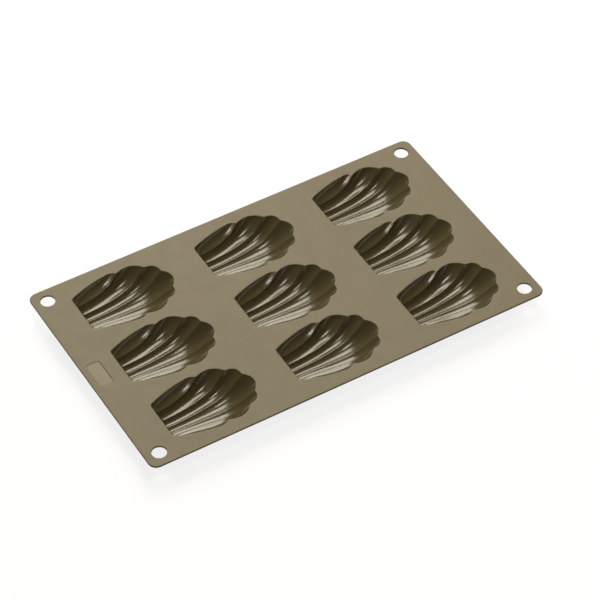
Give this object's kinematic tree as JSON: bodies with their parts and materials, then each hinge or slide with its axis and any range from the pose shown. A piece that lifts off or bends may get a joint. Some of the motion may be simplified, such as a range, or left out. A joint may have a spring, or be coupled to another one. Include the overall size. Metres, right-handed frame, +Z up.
{
  "type": "madeleine pan",
  "caption": "Flexible baking mould for shell-shaped cakes: a thin flat sheet with rounded corners, fluted scallop-shell cups hung in it in rows, and a hanging hole in each corner.",
  "frame": {"origin": "centre of the bounding box's underside, on the plane that the cups rest on", "axes": "+X along the sheet's long side towards the scalloped ends of the shells, +Y across it, +Z up out of the cups"},
  "size_m": [0.3, 0.175, 0.0156],
  "materials": {
    "sheet_silicone": "satin, moulded",
    "cup_silicone": "smooth and a little glossier than the sheet"
  },
  "bodies": {
    "root": {"top_sheet": "sheet_silicone", "cup_front_left": "cup_silicone", "cup_front_centre": "cup_silicone", "cup_front_right": "cup_silicone", "cup_middle_left": "cup_silicone", "cup_middle_centre": "cup_silicone", "cup_middle_right": "cup_silicone", "cup_back_left": "cup_silicone", "cup_back_centre": "cup_silicone", "cup_back_right": "cup_silicone"}
  },
  "joints": []
}
